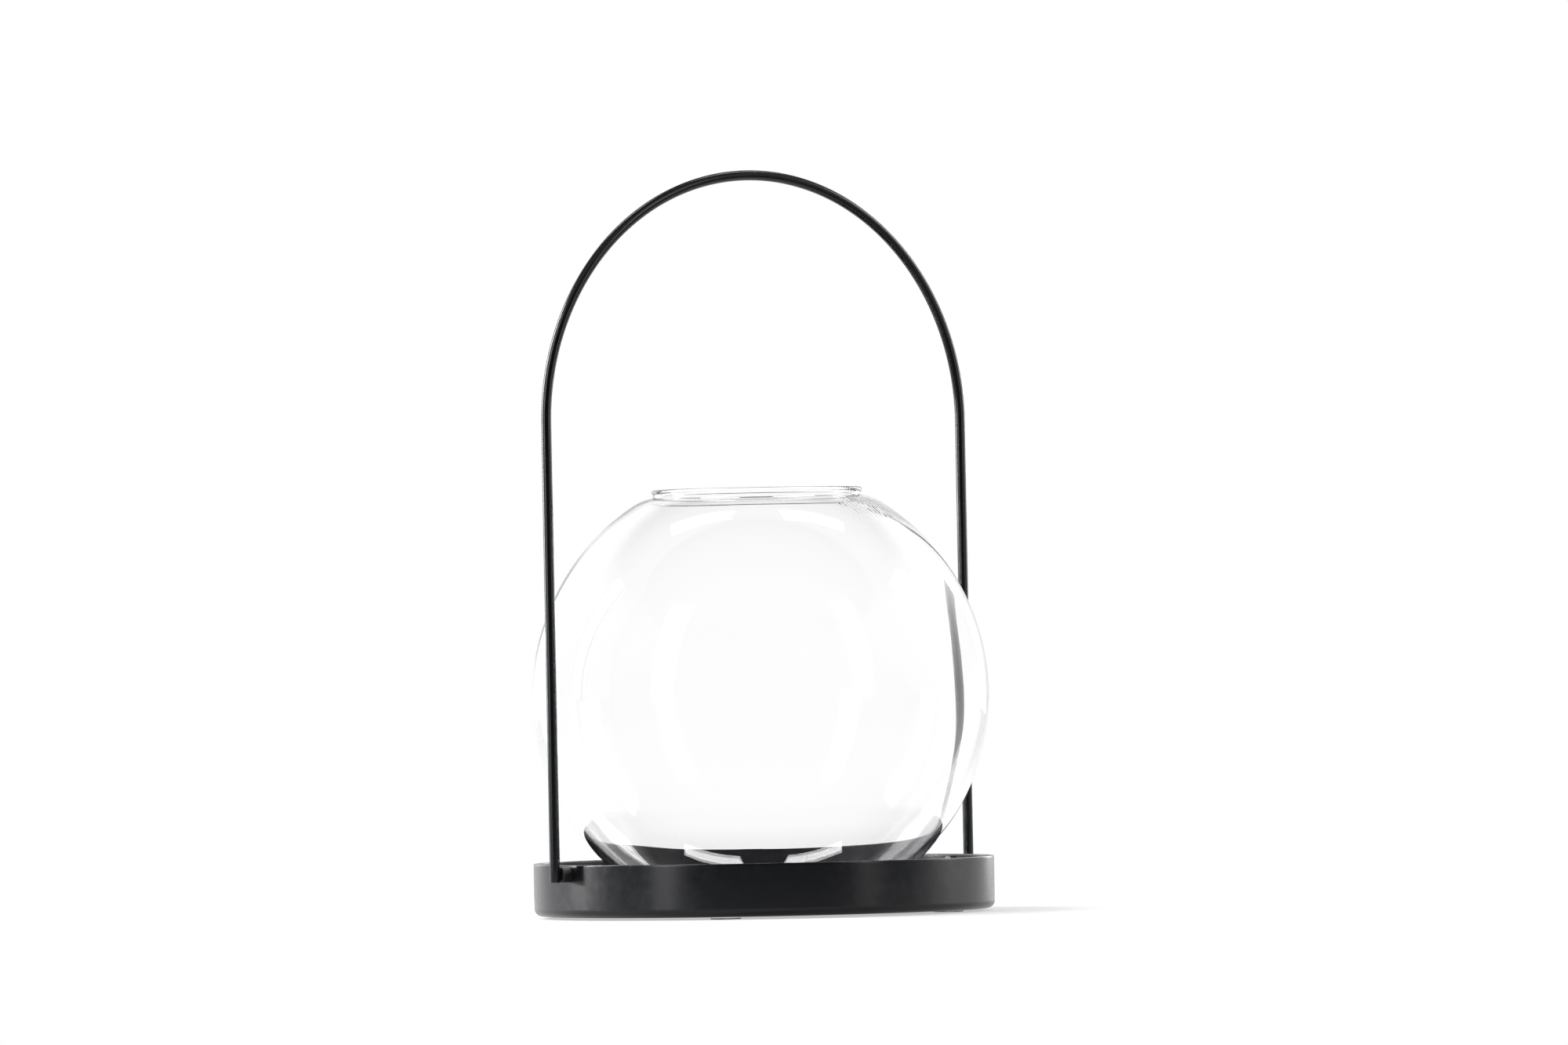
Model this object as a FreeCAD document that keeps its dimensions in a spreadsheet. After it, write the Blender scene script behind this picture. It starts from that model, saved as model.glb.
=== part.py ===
import FreeCAD, Part
import math
import os
import Sketcher

# Candle lantern: a clear blown-glass globe standing in a shallow round steel tray, with a round-wire
# handle that swings on two pins through the tray's rim.
# The origin is the middle of the surface the lantern stands on, Z is up, and the handle's pivots lie
# along X. Sizes are in millimetres.

FOOT_PAD_COUNT = 4

# Driving dimensions: alias, value, meaning.
DIMENSIONS = [
    ("globe_diameter", "178.5", "outside of the glass at its widest"),
    ("globe_wall", "2.0", "glass of the body, the shoulder and the collar"),
    ("foot_wall", "4.0", "glass under the middle of the globe"),
    ("foot_diameter", "68.0", "flat that the globe stands on"),
    ("foot_blend", "10.0", "outside radius between the flat and the body"),
    ("floor_blend", "12.0", "inside radius between the floor and the body"),
    ("recess_width", "8.0", "standing ring round the hollow under the foot"),
    ("recess_depth", "0.8", "hollow under the foot"),
    ("shoulder_angle", "57.0", "degrees above the widest point where the shoulder starts"),
    ("shoulder_radius", "20.0", "outside radius of the shoulder"),
    ("neck_diameter", "81.0", "outside of the collar at its waist"),
    ("neck_blend", "1.2", "hollow radius between shoulder and collar"),
    ("collar_height", "2.1", "from the collar's waist to the top of the lip"),
    ("lip_flare", "0.8", "how far the lip stands out past the collar"),
    ("rim_margin", "0.75", "how far the tray reaches past the globe"),
    ("tray_height", "20.5", "outside height of the tray"),
    ("sheet_thickness", "1.5", "steel sheet of the tray"),
    ("bend_radius", "1.5", "inside radius between the tray's floor and rim"),
    ("rim_round", "0.4", "rounding of the rim's top edges"),
    ("pad_diameter", "12.0", "foot pads under the tray"),
    ("pad_thickness", "1.0", "foot pads under the tray"),
    ("pad_inset", "8.0", "from the edge of the flat underside to a pad"),
    ("pad_round", "0.3", "rounding of a pad's lower edge"),
    ("seat_thickness", "1.5", "soft disc under the globe"),
    ("seat_overlap", "2.0", "how far the disc reaches past the globe's flat"),
    ("seat_round", "0.4", "rounding of the disc's top edge"),
    ("wire_diameter", "4.0", "round wire of the handle"),
    ("wire_round", "0.3", "rounding of the wire's cut ends"),
    ("lantern_height", "291.0", "from the surface to the top of the handle"),
    ("pin_diameter", "3.0", "pivot pin where it turns in its bush"),
    ("running_clearance", "0.05", "pin to bush, each side"),
    ("bush_wall", "0.75", "bush where it passes through the rim"),
    ("boss_step", "0.7", "how far the bush's boss stands out past the hole, each side"),
    ("boss_length", "4.3", "boss between the rim and the handle's leg"),
    ("boss_round", "0.4", "rounding of the boss's outer edge"),
    ("snap_step", "0.3", "how far the bush's snap lip stands out past the hole, each side"),
    ("snap_length", "1.0", "snap lip inside the rim"),
    ("snap_gap", "0.1", "snap lip to the rim's inner face"),
    ("side_clearance", "0.2", "end play of the handle at each bush face"),
    ("rim_land", "0.6", "from the boss to the rim's top edge"),
    ("tenon_diameter", "2.0", "end of the pin pressed into the handle's leg"),
    ("tenon_cover", "1.0", "metal left outside the tenon in the leg"),
    ("head_diameter", "6.0", "pin's head inside the rim"),
    ("head_edge", "0.5", "straight edge of the pin's head"),
    ("head_dome", "1.1", "domed height of the pin's head"),
]

# Places worked out from the driving dimensions, each from those above it.
PLACES = [
    ("globe_radius", "Dims.globe_diameter / 2"),
    ("foot_radius", "Dims.foot_diameter / 2"),
    ("recess_radius", "foot_radius - Dims.recess_width"),
    ("recess_sphere", "(recess_radius ^ 2 + Dims.recess_depth ^ 2) / (2 * Dims.recess_depth)"),
    ("globe_centre", "Dims.foot_blend + sqrt((globe_radius - Dims.foot_blend) ^ 2 - foot_radius ^ 2)"),
    ("foot_ratio", "globe_radius / (globe_radius - Dims.foot_blend)"),
    ("inner_radius", "globe_radius - Dims.globe_wall"),
    ("floor_drop", "globe_centre - Dims.foot_wall - Dims.floor_blend"),
    ("floor_radius", "sqrt((inner_radius - Dims.floor_blend) ^ 2 - floor_drop ^ 2)"),
    ("floor_ratio", "inner_radius / (inner_radius - Dims.floor_blend)"),
    ("shoulder_cos", "cos(Dims.shoulder_angle * 1deg)"),
    ("shoulder_sin", "sin(Dims.shoulder_angle * 1deg)"),
    ("shoulder_x", "(globe_radius - Dims.shoulder_radius) * shoulder_cos"),
    ("shoulder_z", "globe_centre + (globe_radius - Dims.shoulder_radius) * shoulder_sin"),
    ("neck_radius", "Dims.neck_diameter / 2"),
    ("neck_x", "neck_radius + Dims.neck_blend"),
    ("neck_reach", "Dims.shoulder_radius + Dims.neck_blend"),
    ("neck_z", "shoulder_z + sqrt(neck_reach ^ 2 - (neck_x - shoulder_x) ^ 2)"),
    ("neck_outer_ratio", "Dims.shoulder_radius / neck_reach"),
    ("neck_inner_ratio", "(Dims.shoulder_radius - Dims.globe_wall) / neck_reach"),
    ("lip_top", "neck_z + Dims.collar_height"),
    ("lip_round", "(Dims.globe_wall + Dims.lip_flare) / 2"),
    ("tray_radius", "globe_radius + Dims.rim_margin"),
    ("tray_bend", "Dims.bend_radius + Dims.sheet_thickness"),
    ("tray_inner", "tray_radius - Dims.sheet_thickness"),
    ("bush_hole_reach", "2 * (tray_radius + Dims.sheet_thickness)"),
    ("tray_floor", "Dims.pad_thickness + Dims.sheet_thickness"),
    ("globe_base", "tray_floor + Dims.seat_thickness"),
    ("pad_circle", "tray_radius - tray_bend - Dims.pad_inset - Dims.pad_diameter / 2"),
    ("seat_radius", "foot_radius + Dims.seat_overlap"),
    ("pin_radius", "Dims.pin_diameter / 2"),
    ("bush_bore", "pin_radius + Dims.running_clearance"),
    ("bush_barrel", "bush_bore + Dims.bush_wall"),
    ("bush_boss", "bush_barrel + Dims.boss_step"),
    ("bush_seat", "Dims.snap_length + Dims.snap_gap + Dims.sheet_thickness"),
    ("bush_length", "bush_seat + Dims.boss_length"),
    ("pivot_drop", "bush_boss + Dims.rim_land"),
    ("pivot_height", "Dims.pad_thickness + Dims.tray_height - pivot_drop"),
    ("wire_radius", "Dims.wire_diameter / 2"),
    ("leg_offset", "tray_radius + Dims.boss_length + Dims.side_clearance + wire_radius"),
    ("leg_tail", "bush_boss"),
    ("arch_spring", "Dims.lantern_height - pivot_height - wire_radius - leg_offset"),
    ("tenon_length", "Dims.wire_diameter - Dims.tenon_cover"),
    ("tenon_reach", "2 * (leg_offset - wire_radius + tenon_length)"),
    ("head_radius", "Dims.head_diameter / 2"),
    ("head_sphere", "(head_radius ^ 2 + Dims.head_dome ^ 2) / (2 * Dims.head_dome)"),
    ("head_height", "Dims.head_edge + Dims.head_dome"),
    ("pin_shoulder", "head_height + bush_length + 2 * Dims.side_clearance"),
    ("pin_length", "pin_shoulder + tenon_length"),
    ("bush_place", "tray_radius - bush_seat"),
    ("pin_place", "bush_place - Dims.side_clearance - head_height"),
]

LEFT = -1
RIGHT = 1
TOUCH = 1e-6
HOLE_TOLERANCE = 0.005


def add_dimensions(doc):
    """Put the driving dimensions in a sheet and the places that follow from them beside it."""
    sheet = doc.addObject("Spreadsheet::Sheet", "Dims")
    for row, (alias, value, meaning) in enumerate(DIMENSIONS, start=1):
        sheet.set(f"A{row}", alias)
        sheet.set(f"B{row}", value)
        sheet.set(f"C{row}", meaning)
        sheet.setAlias(f"B{row}", alias)
    doc.recompute()
    places = doc.addObject("App::VarSet", "Places")
    for name, expression in PLACES:
        places.addProperty("App::PropertyFloat", name, "Places")
        places.setExpression(name, expression)
    doc.recompute()


def new_body(doc, label):
    """Add an empty body whose label names the piece."""
    body = doc.addObject("PartDesign::Body", label)
    body.Label = label
    return body


def new_sketch(body, name, role):
    """Add a sketch on one of the body's own origin planes."""
    planes = [feature for feature in body.Origin.OriginFeatures if feature.Role == role]
    sketch = body.newObject("Sketcher::SketchObject", name)
    sketch.AttachmentSupport = [(planes[0], "")]
    sketch.MapMode = "FlatFace"
    return sketch


def pin_down(sketch, kind, axis, edge, vertex, expression):
    """Hold one coordinate of a vertex, on the axis itself where the expression is plain zero."""
    if expression == "0":
        sketch.addConstraint(Sketcher.Constraint("PointOnObject", edge, vertex, axis))
        return
    size = sketch.evalExpression(expression)
    number = sketch.addConstraint(Sketcher.Constraint(kind, -1, 1, edge, vertex, size))
    sketch.setExpression(f"Constraints[{number}]", expression)


def arc_through(start, finish, radius, turn):
    """Arc from start to finish, under a half circle, bending left (+1) or right (-1)."""
    chord = finish - start
    across = FreeCAD.Vector(-chord.y, chord.x, 0).normalize() * turn
    height = math.sqrt(max(radius ** 2 - chord.Length ** 2 / 4, 0.0))
    centre = (start + finish) * 0.5 + across * height
    first, last = (start, finish) if turn > 0 else (finish, start)
    angles = [math.atan2(point.y - centre.y, point.x - centre.x) for point in (first, last)]
    circle = Part.Circle(centre, FreeCAD.Vector(0, 0, 1), radius)
    return Part.ArcOfCircle(circle, angles[0], angles[1])


def draw(sketch, corners, closed=True):
    """Draw an outline or a path. Each corner has its two coordinates and the edge that leaves it:
    None for a line, or a radius and a turn, +1 to the left or -1 to the right, for an arc."""
    spots = [FreeCAD.Vector(sketch.evalExpression(x), sketch.evalExpression(y), 0) for x, y, _ in corners]
    count = len(corners) if closed else len(corners) - 1
    edges = []
    for index in range(count):
        start = spots[index]
        finish = spots[(index + 1) % len(spots)]
        bend = corners[index][2]
        if bend is None:
            edges.append((sketch.addGeometry(Part.LineSegment(start, finish)), 1, 2))
            continue
        expression, turn = bend
        radius = sketch.evalExpression(expression)
        edge = sketch.addGeometry(arc_through(start, finish, radius, turn))
        edges.append((edge, 1, 2) if turn > 0 else (edge, 2, 1))
        number = sketch.addConstraint(Sketcher.Constraint("Radius", edge, radius))
        sketch.setExpression(f"Constraints[{number}]", expression)
    for index, (edge, first, last) in enumerate(edges):
        pin_down(sketch, "DistanceX", -2, edge, first, corners[index][0])
        pin_down(sketch, "DistanceY", -1, edge, first, corners[index][1])
        if closed or index + 1 < count:
            following, joint, _ = edges[(index + 1) % count]
            sketch.addConstraint(Sketcher.Constraint("Coincident", edge, last, following, joint))
    if not closed:
        edge, _, last = edges[-1]
        pin_down(sketch, "DistanceX", -2, edge, last, corners[-1][0])
        pin_down(sketch, "DistanceY", -1, edge, last, corners[-1][1])


def draw_circle(sketch, x, y, radius):
    """Draw one circle, held by the expressions for its centre and radius."""
    centre = FreeCAD.Vector(sketch.evalExpression(x), sketch.evalExpression(y), 0)
    size = sketch.evalExpression(radius)
    edge = sketch.addGeometry(Part.Circle(centre, FreeCAD.Vector(0, 0, 1), size))
    pin_down(sketch, "DistanceX", -2, edge, 3, x)
    pin_down(sketch, "DistanceY", -1, edge, 3, y)
    number = sketch.addConstraint(Sketcher.Constraint("Radius", edge, size))
    sketch.setExpression(f"Constraints[{number}]", radius)


def revolve(body, sketch, axis):
    """Turn a closed outline a full circle about one of its sketch's axes."""
    turned = body.newObject("PartDesign::Revolution", body.Label + "_turned")
    turned.Profile = sketch
    turned.ReferenceAxis = (sketch, [axis])
    turned.Angle = 360
    body.Tip = turned


def round_edges(body, base, names, size):
    """Round the named edges of a feature by the sheet's size."""
    rounded = body.newObject("PartDesign::Fillet", body.Label + "_rounded")
    rounded.Base = (base, names)
    rounded.setExpression("Radius", size)
    body.Tip = rounded


def edges_at_height(shape, height):
    """Names of a shape's closed round edges that lie flat at a height."""
    names = []
    for number, edge in enumerate(shape.Edges, start=1):
        box = edge.BoundBox
        if max(abs(box.ZMin - height), abs(box.ZMax - height)) < TOUCH and edge.isClosed():
            names.append(f"Edge{number}")
    return names


def place(body, x, y, z):
    """Bind a body's place to expressions."""
    for axis, expression in (("x", x), ("y", y), ("z", z)):
        body.setExpression(f"Placement.Base.{axis}", expression)


def make_base_tray(doc):
    """Pressed dish of steel sheet with a hole through its rim for each bush."""
    body = new_body(doc, "base_tray")
    outline = new_sketch(body, "tray_section", "XZ_Plane")
    top = "Dims.tray_height"
    below_top = "Dims.tray_height - Dims.rim_round"
    draw(outline, [
        ("0", "0", None),
        ("Places.tray_radius - Places.tray_bend", "0", ("Places.tray_bend", 1)),
        ("Places.tray_radius", "Places.tray_bend", None),
        ("Places.tray_radius", below_top, ("Dims.rim_round", 1)),
        ("Places.tray_radius - Dims.rim_round", top, None),
        ("Places.tray_inner + Dims.rim_round", top, ("Dims.rim_round", 1)),
        ("Places.tray_inner", below_top, None),
        ("Places.tray_inner", "Places.tray_bend", ("Dims.bend_radius", -1)),
        ("Places.tray_radius - Places.tray_bend", "Dims.sheet_thickness", None),
        ("0", "Dims.sheet_thickness", None),
    ])
    revolve(body, outline, "V_Axis")
    holes = new_sketch(body, "bush_holes", "YZ_Plane")
    draw_circle(holes, "0", "Dims.tray_height - Places.pivot_drop", "Places.bush_barrel")
    pocket = body.newObject("PartDesign::Pocket", "bush_holes_cut")
    pocket.Profile = holes
    pocket.Type = "Length"
    pocket.SideType = "Symmetric"
    pocket.setExpression("Length", "Places.bush_hole_reach")
    body.Tip = pocket
    place(body, "0", "0", "Dims.pad_thickness")
    return body


def make_glass_globe(doc):
    """Blown globe: flat foot, round body, tighter shoulder, short flared collar, thickest underneath."""
    body = new_body(doc, "glass_globe")
    outline = new_sketch(body, "globe_section", "XZ_Plane")
    centre = "Places.globe_centre"
    lip_side = "Places.lip_top - Places.lip_round"
    draw(outline, [
        ("0", "Dims.recess_depth", ("Places.recess_sphere", -1)),
        ("Places.recess_radius", "0", None),
        ("Places.foot_radius", "0", ("Dims.foot_blend", 1)),
        ("Places.foot_radius * Places.foot_ratio",
         f"{centre} - ({centre} - Dims.foot_blend) * Places.foot_ratio", ("Places.globe_radius", 1)),
        ("Places.globe_radius * Places.shoulder_cos",
         f"{centre} + Places.globe_radius * Places.shoulder_sin", ("Dims.shoulder_radius", 1)),
        ("Places.shoulder_x + (Places.neck_x - Places.shoulder_x) * Places.neck_outer_ratio",
         "Places.shoulder_z + (Places.neck_z - Places.shoulder_z) * Places.neck_outer_ratio",
         ("Dims.neck_blend", -1)),
        ("Places.neck_radius", "Places.neck_z", None),
        ("Places.neck_radius + Dims.lip_flare", lip_side, ("Places.lip_round", 1)),
        ("Places.neck_radius + Dims.lip_flare - Places.lip_round", "Places.lip_top",
         ("Places.lip_round", 1)),
        ("Places.neck_radius - Dims.globe_wall", lip_side, None),
        ("Places.neck_radius - Dims.globe_wall", "Places.neck_z",
         ("Dims.neck_blend + Dims.globe_wall", 1)),
        ("Places.shoulder_x + (Places.neck_x - Places.shoulder_x) * Places.neck_inner_ratio",
         "Places.shoulder_z + (Places.neck_z - Places.shoulder_z) * Places.neck_inner_ratio",
         ("Dims.shoulder_radius - Dims.globe_wall", -1)),
        ("Places.inner_radius * Places.shoulder_cos",
         f"{centre} + Places.inner_radius * Places.shoulder_sin", ("Places.inner_radius", -1)),
        ("Places.floor_radius * Places.floor_ratio",
         f"{centre} - Places.floor_drop * Places.floor_ratio", ("Dims.floor_blend", -1)),
        ("Places.floor_radius", "Dims.foot_wall", None),
        ("0", "Dims.foot_wall", None),
    ])
    revolve(body, outline, "V_Axis")
    place(body, "0", "0", "Places.globe_base")
    return body


def make_handle(doc):
    """Round wire: two straight legs and a half-circle arch, cross-drilled near each cut end."""
    body = new_body(doc, "handle")
    route = new_sketch(body, "handle_route", "XZ_Plane")
    crown = "Places.arch_spring + Places.leg_offset"
    draw(route, [
        ("Places.leg_offset", "-Places.leg_tail", None),
        ("Places.leg_offset", "Places.arch_spring", ("Places.leg_offset", 1)),
        ("0", crown, ("Places.leg_offset", 1)),
        ("-Places.leg_offset", "Places.arch_spring", None),
        ("-Places.leg_offset", "-Places.leg_tail", None),
    ], closed=False)
    section = new_sketch(body, "wire_section", "XY_Plane")
    section.setExpression("AttachmentOffset.Base.z", "-Places.leg_tail")
    draw_circle(section, "Places.leg_offset", "0", "Places.wire_radius")
    wire = body.newObject("PartDesign::AdditivePipe", "handle_wire")
    wire.Profile = section
    wire.Spine = (route, ["Edge1", "Edge2", "Edge3", "Edge4"])
    body.Tip = wire
    doc.recompute()
    round_edges(body, wire, edges_at_height(wire.Shape, -doc.Places.leg_tail), "Dims.wire_round")
    doc.recompute()
    holes = new_sketch(body, "tenon_holes", "YZ_Plane")
    draw_circle(holes, "0", "0", "Dims.tenon_diameter / 2")
    pocket = body.newObject("PartDesign::Pocket", "tenon_holes_cut")
    pocket.Profile = holes
    pocket.Type = "Length"
    pocket.SideType = "Symmetric"
    pocket.setExpression("Length", "Places.tenon_reach")
    body.Tip = pocket
    place(body, "0", "0", "Places.pivot_height")
    return body


def make_seat_pad(doc):
    """Soft disc on the tray's floor that the globe stands on."""
    body = new_body(doc, "seat_pad")
    outline = new_sketch(body, "seat_section", "XZ_Plane")
    draw(outline, [
        ("0", "0", None),
        ("Places.seat_radius", "0", None),
        ("Places.seat_radius", "Dims.seat_thickness - Dims.seat_round", ("Dims.seat_round", 1)),
        ("Places.seat_radius - Dims.seat_round", "Dims.seat_thickness", None),
        ("0", "Dims.seat_thickness", None),
    ])
    revolve(body, outline, "V_Axis")
    place(body, "0", "0", "Places.tray_floor")
    return body


def make_foot_pad(doc, number):
    """Small soft disc under the tray; the discs stand evenly round it, between the pivots."""
    body = new_body(doc, f"foot_pad_{number}")
    outline = new_sketch(body, f"pad_outline_{number}", "XY_Plane")
    draw_circle(outline, "0", "0", "Dims.pad_diameter / 2")
    disc = body.newObject("PartDesign::Pad", f"pad_disc_{number}")
    disc.Profile = outline
    disc.setExpression("Length", "Dims.pad_thickness")
    body.Tip = disc
    doc.recompute()
    round_edges(body, disc, edges_at_height(disc.Shape, 0), "Dims.pad_round")
    angle = (number - 0.5) * 360 / FOOT_PAD_COUNT
    place(body, f"Places.pad_circle * cos({angle}deg)", f"Places.pad_circle * sin({angle}deg)", "0")
    return body


def turn_to_side(body, side, distance):
    """Stand a piece that was turned about X on the pivot axis, facing out on its side of the tray."""
    if side == LEFT:
        body.Placement.Rotation = FreeCAD.Rotation(FreeCAD.Vector(0, 0, 1), 180)
    place(body, f"{side} * {distance}", "0", "Places.pivot_height")


def make_bush(doc, label, side):
    """Snap-in bush: boss outside the rim, barrel through it, lip inside it, bored for the pin."""
    body = new_body(doc, label)
    outline = new_sketch(body, label + "_section", "XZ_Plane")
    draw(outline, [
        ("0", "Places.bush_bore", None),
        ("Places.bush_length", "Places.bush_bore", None),
        ("Places.bush_length", "Places.bush_boss - Dims.boss_round", ("Dims.boss_round", 1)),
        ("Places.bush_length - Dims.boss_round", "Places.bush_boss", None),
        ("Places.bush_seat", "Places.bush_boss", None),
        ("Places.bush_seat", "Places.bush_barrel", None),
        ("Dims.snap_length", "Places.bush_barrel", None),
        ("Dims.snap_length", "Places.bush_barrel + Dims.snap_step", None),
        ("0", "Places.bush_barrel", None),
    ])
    revolve(body, outline, "H_Axis")
    turn_to_side(body, side, "Places.bush_place")
    return body


def make_pivot_pin(doc, label, side):
    """Headed pin: domed head inside the rim, shank in the bush, tenon pressed into the handle's leg."""
    body = new_body(doc, label)
    outline = new_sketch(body, label + "_section", "XZ_Plane")
    draw(outline, [
        ("0", "0", None),
        ("Places.pin_length", "0", None),
        ("Places.pin_length", "Dims.tenon_diameter / 2", None),
        ("Places.pin_shoulder", "Dims.tenon_diameter / 2", None),
        ("Places.pin_shoulder", "Places.pin_radius", None),
        ("Places.head_height", "Places.pin_radius", None),
        ("Places.head_height", "Places.head_radius", None),
        ("Dims.head_dome", "Places.head_radius", ("Places.head_sphere", 1)),
    ])
    revolve(body, outline, "H_Axis")
    turn_to_side(body, side, "Places.pin_place")
    return body


def check(doc, bodies):
    """Stop if any object of the document failed, or if a piece isn't one valid solid."""
    failed = [item.Label for item in doc.Objects if {"Invalid", "Error"} & set(item.State)]
    if failed:
        raise RuntimeError("failed objects: " + ", ".join(failed))
    for body in bodies:
        shape = body.Shape
        if shape.isNull() or not shape.isValid() or len(shape.Solids) != 1:
            raise RuntimeError(body.Label + " is not one valid solid")


def check_hole(holder, held):
    """Stop if a piece's hole is shut: what is pressed into it would then share its volume."""
    shared = holder.Shape.common(held.Shape).Volume
    if shared > HOLE_TOLERANCE * held.Shape.Volume:
        raise RuntimeError(f"{held.Label} shares {shared:.2f} mm3 with {holder.Label}")


def main():
    """Build the lantern and write one file for each piece."""
    doc = FreeCAD.newDocument("candle_lantern")
    add_dimensions(doc)
    tray = make_base_tray(doc)
    handle = make_handle(doc)
    bushes = [make_bush(doc, "left_bush", LEFT), make_bush(doc, "right_bush", RIGHT)]
    pins = [make_pivot_pin(doc, "left_pivot_pin", LEFT), make_pivot_pin(doc, "right_pivot_pin", RIGHT)]
    pads = [make_foot_pad(doc, number) for number in range(1, FOOT_PAD_COUNT + 1)]
    bodies = [tray, make_seat_pad(doc), make_glass_globe(doc), handle] + bushes + pins + pads
    doc.recompute()
    check(doc, bodies)
    for bush in bushes:
        check_hole(tray, bush)
    for pin in pins:
        check_hole(handle, pin)
    os.makedirs("parts", exist_ok=True)
    for body in bodies:
        body.Shape.exportStep(f"parts/{body.Label}.step")


main()
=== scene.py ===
import math

import bmesh
import bpy
from bpy.props import FloatProperty, FloatVectorProperty, PointerProperty
from mathutils import Matrix, Quaternion, Vector, noise


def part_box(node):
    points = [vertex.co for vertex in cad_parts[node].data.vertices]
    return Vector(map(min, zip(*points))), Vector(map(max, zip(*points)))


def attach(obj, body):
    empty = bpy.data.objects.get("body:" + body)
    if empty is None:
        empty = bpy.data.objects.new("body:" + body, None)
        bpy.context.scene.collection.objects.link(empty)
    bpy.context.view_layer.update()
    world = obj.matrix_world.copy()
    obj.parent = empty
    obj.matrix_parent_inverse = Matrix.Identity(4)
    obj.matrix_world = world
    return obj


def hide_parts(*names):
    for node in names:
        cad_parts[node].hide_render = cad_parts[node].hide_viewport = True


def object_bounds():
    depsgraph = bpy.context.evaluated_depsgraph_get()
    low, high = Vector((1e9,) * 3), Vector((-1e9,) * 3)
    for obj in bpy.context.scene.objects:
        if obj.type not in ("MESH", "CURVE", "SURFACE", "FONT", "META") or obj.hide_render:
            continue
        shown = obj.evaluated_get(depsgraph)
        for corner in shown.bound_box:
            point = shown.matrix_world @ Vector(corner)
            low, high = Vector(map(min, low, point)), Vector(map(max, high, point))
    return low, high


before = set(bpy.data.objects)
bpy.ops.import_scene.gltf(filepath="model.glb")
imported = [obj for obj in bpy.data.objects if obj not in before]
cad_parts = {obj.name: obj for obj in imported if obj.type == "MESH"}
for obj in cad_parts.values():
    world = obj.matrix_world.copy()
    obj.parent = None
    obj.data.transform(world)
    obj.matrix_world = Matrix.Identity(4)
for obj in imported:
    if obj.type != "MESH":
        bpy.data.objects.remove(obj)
CAD_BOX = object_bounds()

bl_info = {
    "name": "Candle lantern",
    "version": (1, 0, 0),
    "blender": (4, 5, 0),
    "location": "View3D > Sidebar > Lantern",
    "description": "Glass globe, black tray and swinging wire handle, lit for a studio picture",
    "category": "Object",
}

# Sizes are in metres. The frame gives each piece's place and outer size.
MM = 0.001
TRAY_LOW, TRAY_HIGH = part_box("base_tray")
GLOBE_LOW, GLOBE_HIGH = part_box("glass_globe")
HANDLE_LOW, HANDLE_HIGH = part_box("handle")
BUSH_LOW, BUSH_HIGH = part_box("right_bush")
PIVOT_HEIGHT = (BUSH_LOW.z + BUSH_HIGH.z) / 2

ROUND_STEPS = 288
WIRE_STEPS = 40
SHADE_ANGLE = math.radians(32)

# The picture that the camera is matched to: its width in pixels, on a sensor in millimetres.
PICTURE_WIDTH = 2000
SENSOR_WIDTH = 36.0

FLOOR_RADIUS = 16.0
FLOOR_GREY = (0.50, 0.50, 0.50, 1.0)
WHITE = (1.0, 1.0, 1.0, 1.0)


def size(name, description, metres):
    """A length that a user may change."""
    return FloatProperty(name=name, description=description, default=metres, min=0.0,
                         precision=4, subtype="DISTANCE", unit="LENGTH")


def tint(name, description, colour):
    """A colour that a user may change."""
    return FloatVectorProperty(name=name, description=description, default=colour, size=3,
                               min=0.0, max=1.0, subtype="COLOR")


def turn(name, description, degrees):
    """An angle that a user may change."""
    return FloatProperty(name=name, description=description, default=math.radians(degrees),
                         subtype="ANGLE", unit="ROTATION")


def level(name, description, number):
    """A plain number that a user may change."""
    return FloatProperty(name=name, description=description, default=number, min=0.0)


class LanternSizes(bpy.types.PropertyGroup):
    """Sizes of the pieces that are modelled here."""

    tray_radius: size("Tray radius", "Outside of the tray's rim", TRAY_HIGH.x)
    tray_sheet: size("Tray sheet", "Thickness of the tray's steel", 1.5 * MM)
    tray_bend: size("Tray bend", "Inside radius between floor and rim", 1.5 * MM)
    rim_round: size("Rim rounding", "Rounding of the rim's top edges", 0.4 * MM)
    bush_hole: size("Bush hole", "Radius of the holes through the rim", 2.3 * MM)
    globe_radius: size("Globe radius", "Outside of the glass at its widest", GLOBE_HIGH.x)
    globe_wall: size("Glass wall", "Glass of the body and the collar", 2.0 * MM)
    foot_wall: size("Foot wall", "Glass under the middle", 4.0 * MM)
    foot_radius: size("Foot radius", "Flat that the globe stands on", 34.0 * MM)
    foot_blend: size("Foot blend", "Outside radius above the flat", 10.0 * MM)
    floor_blend: size("Floor blend", "Inside radius above the floor", 12.0 * MM)
    recess_width: size("Recess margin", "Standing ring round the hollow underneath", 8.0 * MM)
    recess_depth: size("Recess depth", "Hollow under the foot", 0.8 * MM)
    shoulder_angle: turn("Shoulder start", "Height above the widest point, as an angle", 57.0)
    shoulder_radius: size("Shoulder radius", "Outside radius of the shoulder", 20.0 * MM)
    neck_radius: size("Neck radius", "Outside of the collar at its waist", 40.5 * MM)
    neck_blend: size("Neck blend", "Hollow radius between shoulder and collar", 1.2 * MM)
    collar_height: size("Collar height", "From the waist to the top of the lip", 2.1 * MM)
    lip_flare: size("Lip flare", "How far the lip stands out past the collar", 0.8 * MM)
    glass_wave: size("Glass wave", "Height of the slow waves in the blown glass", 0.12 * MM)
    glass_pool: size("Glass pool", "Glass that settled inside the lower wall while it was hot", 0.7 * MM)
    wrinkle: size("Shoulder wrinkle", "Height of the fine wrinkles by the collar", 0.015 * MM)
    wrinkle_bearing: turn("Wrinkle bearing", "Side of the collar that the wrinkles lie on", -33.0)
    wire_radius: size("Wire radius", "Half of the handle's wire", 2.0 * MM)
    wire_round: size("Wire rounding", "Rounding of the wire's cut ends", 0.3 * MM)


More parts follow.
